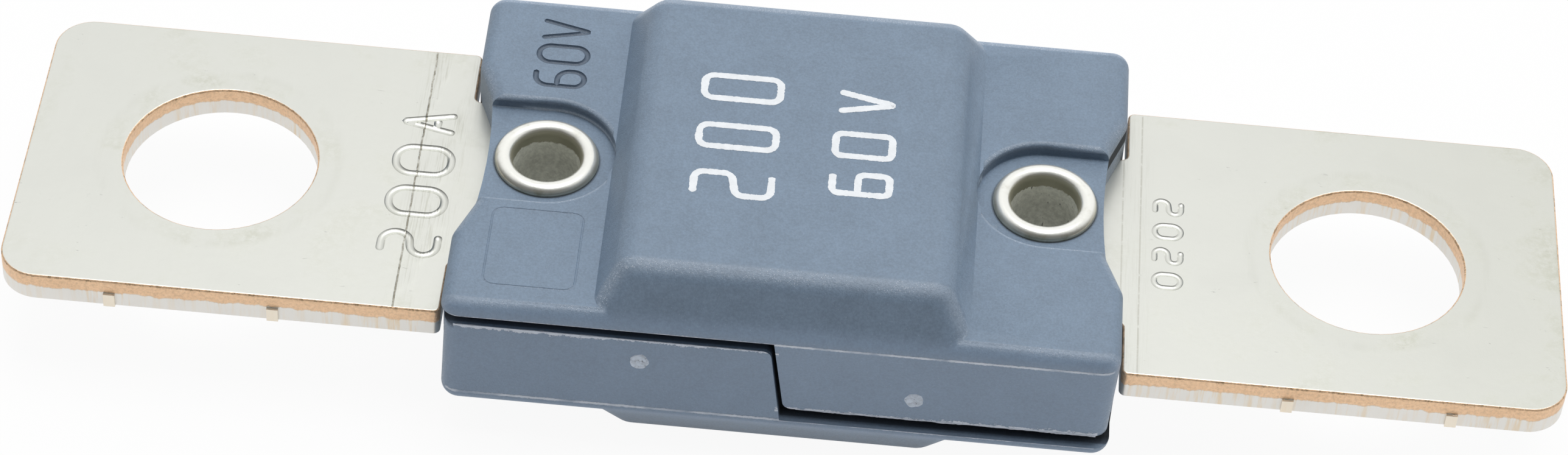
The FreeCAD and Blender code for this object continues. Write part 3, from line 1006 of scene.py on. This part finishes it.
class FUSE_OT_print(bpy.types.Operator):
    """Prints the plain numbers on top of the hump"""

    bl_idname = "fuse.print"
    bl_label = "Printed characters"

    def execute(self, context):
        settings = context.scene.fuse_print
        film = context.scene.fuse_housing.film
        finish = ink_material(settings)
        level, half = HUMP_TOP - film / MM, settings.stroke / MM / 2
        large = [(-3.94, -2.3), (-1.04, 0.6), (1.94, 3.68)]
        small = [(-3.2, -1.69), (-0.93, 0.75), (1.8, 3.33)]
        columns = [
            ("print_large", settings.large, large, -4.52, -0.83, 0.42),
            ("print_small", settings.small, small, 1.44, 4.25, 0.3),
        ]
        for name, text, spans, top, bottom, corner in columns:
            piece = lettering(name, text, spans, top, bottom, level, half, corner)
            from_tree(piece, bpy.data.node_groups["swept_strokes"], {
                "Width": settings.stroke, "Depth": film * 1.4, "Step": 0.04 * MM,
                "Ragged": settings.ragged, "Ceiling": HUMP_TOP * MM, "Seed": settings.seed,
                "Material": finish,
            })
            piece.data.shade_flat()
            keep(piece)
        return {"FINISHED"}


class FUSE_OT_strip(bpy.types.Operator):
    """Builds the tinned strip with its stamped numbers"""

    bl_idname = "fuse.strip"
    bl_label = "Tinned strip"

    def execute(self, context):
        settings = context.scene.fuse_strip
        strip = joined_copy("tinned_strip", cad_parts["fuse_strip"])
        left = [(-4.95, -3.25), (-2.55, -0.55), (-0.05, 2.0), (2.6, 4.15)]
        right = [(-2.85, -1.75), (-1.35, -0.25), (0.15, 1.25), (1.65, 2.75)]
        stamps = [
            ("stamp_left", "200A", left, -18.0, -15.15, 1.0, 0.75),
            ("stamp_right", "0202", right, 15.9, 17.35, 0.75, 0.4),
        ]
        for name, text, spans, top, bottom, thickness, corner in stamps:
            # The punch's edge is round, and sinks in by less than its radius
            punch = settings.punch / MM * thickness
            sunk = settings.stamp_depth / MM * thickness
            half = math.sqrt(punch ** 2 - (punch - sunk) ** 2)
            level = STRIP_TOP + punch - sunk
            cutter = lettering(name, text, spans, top, bottom, level, half, corner)
            sink(strip, cutter, 2 * punch * MM, punch * MM, 0.06, 1.0)
        smooth(strip)
        dress(strip, strip_material(settings))
        keep(strip, "strip", "fuse_strip")
        return {"FINISHED"}


def arc(across, height, radius, start, end, steps):
    """Points about (across, height), from one angle to another."""
    angles = [start + (end - start) * step / steps for step in range(steps + 1)]
    return [(across + radius * math.cos(angle), height + radius * math.sin(angle)) for angle in angles]


def eyelet_section(settings):
    """Closed outline (distance from the axis, height) of the tube with both rims rolled out."""
    bore, wall = settings.bore_radius / MM, settings.wall / MM
    lip, seat = settings.lip / MM, settings.seat / MM
    upper = [(bore, seat * part) for part in (0.0, 0.25, 0.5, 0.7, 0.8, 0.87, 0.94)]
    upper += arc(bore + lip, seat, lip, math.pi, 0.0, 12)
    upper += arc(bore + lip, seat, lip - wall, 0.0, math.pi, 6)
    upper += [(bore + wall, seat * part) for part in (0.8, 0.4)]
    return upper + [(radius, -height) for radius, height in reversed(upper) if height]


def rolled_eyelet(name, side, settings):
    """The tube spun round one eyelet's axis, with faint dents."""
    around = 96
    section = eyelet_section(settings)
    count = len(section)
    centre = side * settings.spacing / MM / 2
    vertices, faces = [], []
    for step in range(around):
        angle = 2 * math.pi * step / around
        ripple = Vector((math.cos(angle) * 1.4, math.sin(angle) * 1.4, side * 7.0))
        for radius, height in section:
            dent = 0.012 * noise.noise(ripple + Vector((0, 0, height * 0.4)))
            reach = radius - abs(dent)
            vertices.append((centre + reach * math.cos(angle), reach * math.sin(angle), height))
    for step in range(around):
        here, there = step * count, (step + 1) % around * count
        for index in range(count):
            following = (index + 1) % count
            faces.append((here + index, here + following, there + following, there + index))
    piece = mesh_piece(name, vertices, (), faces)
    with editing(piece.data) as build:
        bmesh.ops.recalc_face_normals(build, faces=build.faces)
    piece.data.shade_smooth()
    return piece


class FUSE_OT_eyelets(bpy.types.Operator):
    """Rolls the two tubular eyelets"""

    bl_idname = "fuse.eyelets"
    bl_label = "Eyelets"

    def execute(self, context):
        settings = context.scene.fuse_eyelets
        finish = eyelet_material(settings)
        for name, side in (("left", -1), ("right", 1)):
            piece = rolled_eyelet(name + "_rolled_eyelet", side, settings)
            dress(piece, finish)
            keep(piece, "eyelet", name + "_eyelet")
        return {"FINISHED"}


class FUSE_OT_pellet(bpy.types.Operator):
    """Gives the hidden tin pellet its cast finish"""

    bl_idname = "fuse.pellet"
    bl_label = "Tin pellet"

    def execute(self, context):
        dress(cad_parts["tin_pellet"], pellet_material())
        return {"FINISHED"}


class FUSE_OT_stage(bpy.types.Operator):
    """Sets the white floor, the studio light and the camera"""

    bl_idname = "fuse.stage"
    bl_label = "Floor, light and camera"

    def execute(self, context):
        settings = context.scene.fuse_stage
        scene = context.scene
        scene.view_settings.view_transform = "Standard"
        level, reach = cad_box[0].z / MM, 3000.0
        corners = [(-reach, -reach), (reach, -reach), (reach, reach), (-reach, reach)]
        floor = mesh_piece("floor", [(x, y, level) for x, y in corners], (), [(0, 1, 2, 3)])
        dress(floor, floor_material(settings))
        studio_sky(scene, settings)
        softbox("softbox_over", place=(0.03, 0.08, 0.6), side=0.35, power=1.4)
        scene.camera = aimed_camera(settings)
        return {"FINISHED"}


def aimed_camera(settings):
    """The camera at the photograph's viewing angle."""
    camera = bpy.data.cameras.new("camera")
    camera.lens = settings.lens
    camera.sensor_width = 36.0
    camera.clip_start = 0.01
    camera.clip_end = 20.0
    holder = link(bpy.data.objects.new("camera", camera))
    turn = Vector(CAMERA_TURN)
    into_view = Matrix.Rotation(turn.length, 3, turn.normalized())
    upright = Matrix(((1, 0, 0), (0, -1, 0), (0, 0, -1)))
    facing = (into_view.transposed() @ upright).to_4x4()
    holder.matrix_world = Matrix.Translation(Vector(CAMERA_PLACE) * MM) @ facing
    return holder


def floor_material(settings):
    """White floor that keeps the soft shadow; the camera and shiny pieces see it nearly white."""
    made, tree = material("white_floor")
    lit = node(tree, "ShaderNodeBsdfDiffuse", None, {"Color": rgba(settings.floor)})
    glow = node(tree, "ShaderNodeEmission", None, {"Color": (1, 1, 1, 1), "Strength": 1.0})
    path = node(tree, "ShaderNodeLightPath")
    seen = path.out("Is Camera Ray") + path.out("Is Glossy Ray") + path.out("Is Transmission Ray")
    surface = node(tree, "ShaderNodeMixShader", None, {0: seen * 0.93, 1: lit, 2: glow})
    node(tree, "ShaderNodeOutputMaterial", None, {"Surface": surface})
    return made


def studio_sky(scene, settings):
    """Soft light from above and behind, fading to a darker side behind the camera."""
    world = bpy.data.worlds.new("studio")
    scene.world = world
    world.use_nodes = True
    tree = world.node_tree
    tree.nodes.clear()
    x, y, z = split(tree, node(tree, "ShaderNodeTexCoord", output="Generated"))
    lit = (0.4 + y * 0.95 + (z - 0.5) * 0.9 + x * 0.15).rise(0.0, 1.0)
    strength = settings.dark + lit * (settings.bright - settings.dark)
    light = node(tree, "ShaderNodeBackground", None, {"Color": (1, 1, 1, 1), "Strength": strength})
    node(tree, "ShaderNodeOutputWorld", None, {"Surface": light})


def softbox(name, place, side, power):
    """Square lamp that faces the fuse; its place and side are in metres, its power in watts."""
    lamp = bpy.data.lights.new(name, "AREA")
    lamp.shape = "SQUARE"
    lamp.size = side
    lamp.energy = power
    holder = link(bpy.data.objects.new(name, lamp))
    spot = Vector(place)
    holder.matrix_world = Matrix.Translation(spot) @ spot.to_track_quat("Z", "Y").to_matrix().to_4x4()


class FUSE_PT_panel(bpy.types.Panel):
    """Lists the pieces of the fuse and their settings"""

    bl_idname = "FUSE_PT_panel"
    bl_label = "Strip Fuse"
    bl_space_type = "VIEW_3D"
    bl_region_type = "UI"
    bl_category = "Fuse"

    def draw(self, context):
        for name, group in SETTINGS.items():
            box = self.layout.box()
            box.label(text=group.__doc__)
            for key in group.__annotations__:
                box.prop(getattr(context.scene, name), key)
        for operator in OPERATORS:
            self.layout.operator(operator.bl_idname)


OPERATORS = (
    FUSE_OT_housing, FUSE_OT_moulding_marks, FUSE_OT_print, FUSE_OT_strip, FUSE_OT_eyelets,
    FUSE_OT_pellet, FUSE_OT_stage,
)


def register():
    for group in (*SETTINGS.values(), *OPERATORS, FUSE_PT_panel):
        bpy.utils.register_class(group)
    for name, group in SETTINGS.items():
        setattr(bpy.types.Scene, name, PointerProperty(type=group))


def unregister():
    for name in SETTINGS:
        delattr(bpy.types.Scene, name)
    for group in reversed((*SETTINGS.values(), *OPERATORS, FUSE_PT_panel)):
        bpy.utils.unregister_class(group)


def main():
    """Builds the fuse and its stage."""
    register()
    stroke_tree()
    bpy.ops.fuse.housing()
    bpy.ops.fuse.moulding_marks()
    bpy.ops.fuse.print()
    bpy.ops.fuse.strip()
    bpy.ops.fuse.eyelets()
    bpy.ops.fuse.pellet()
    bpy.ops.fuse.stage()


if __name__ == "__main__":
    main()
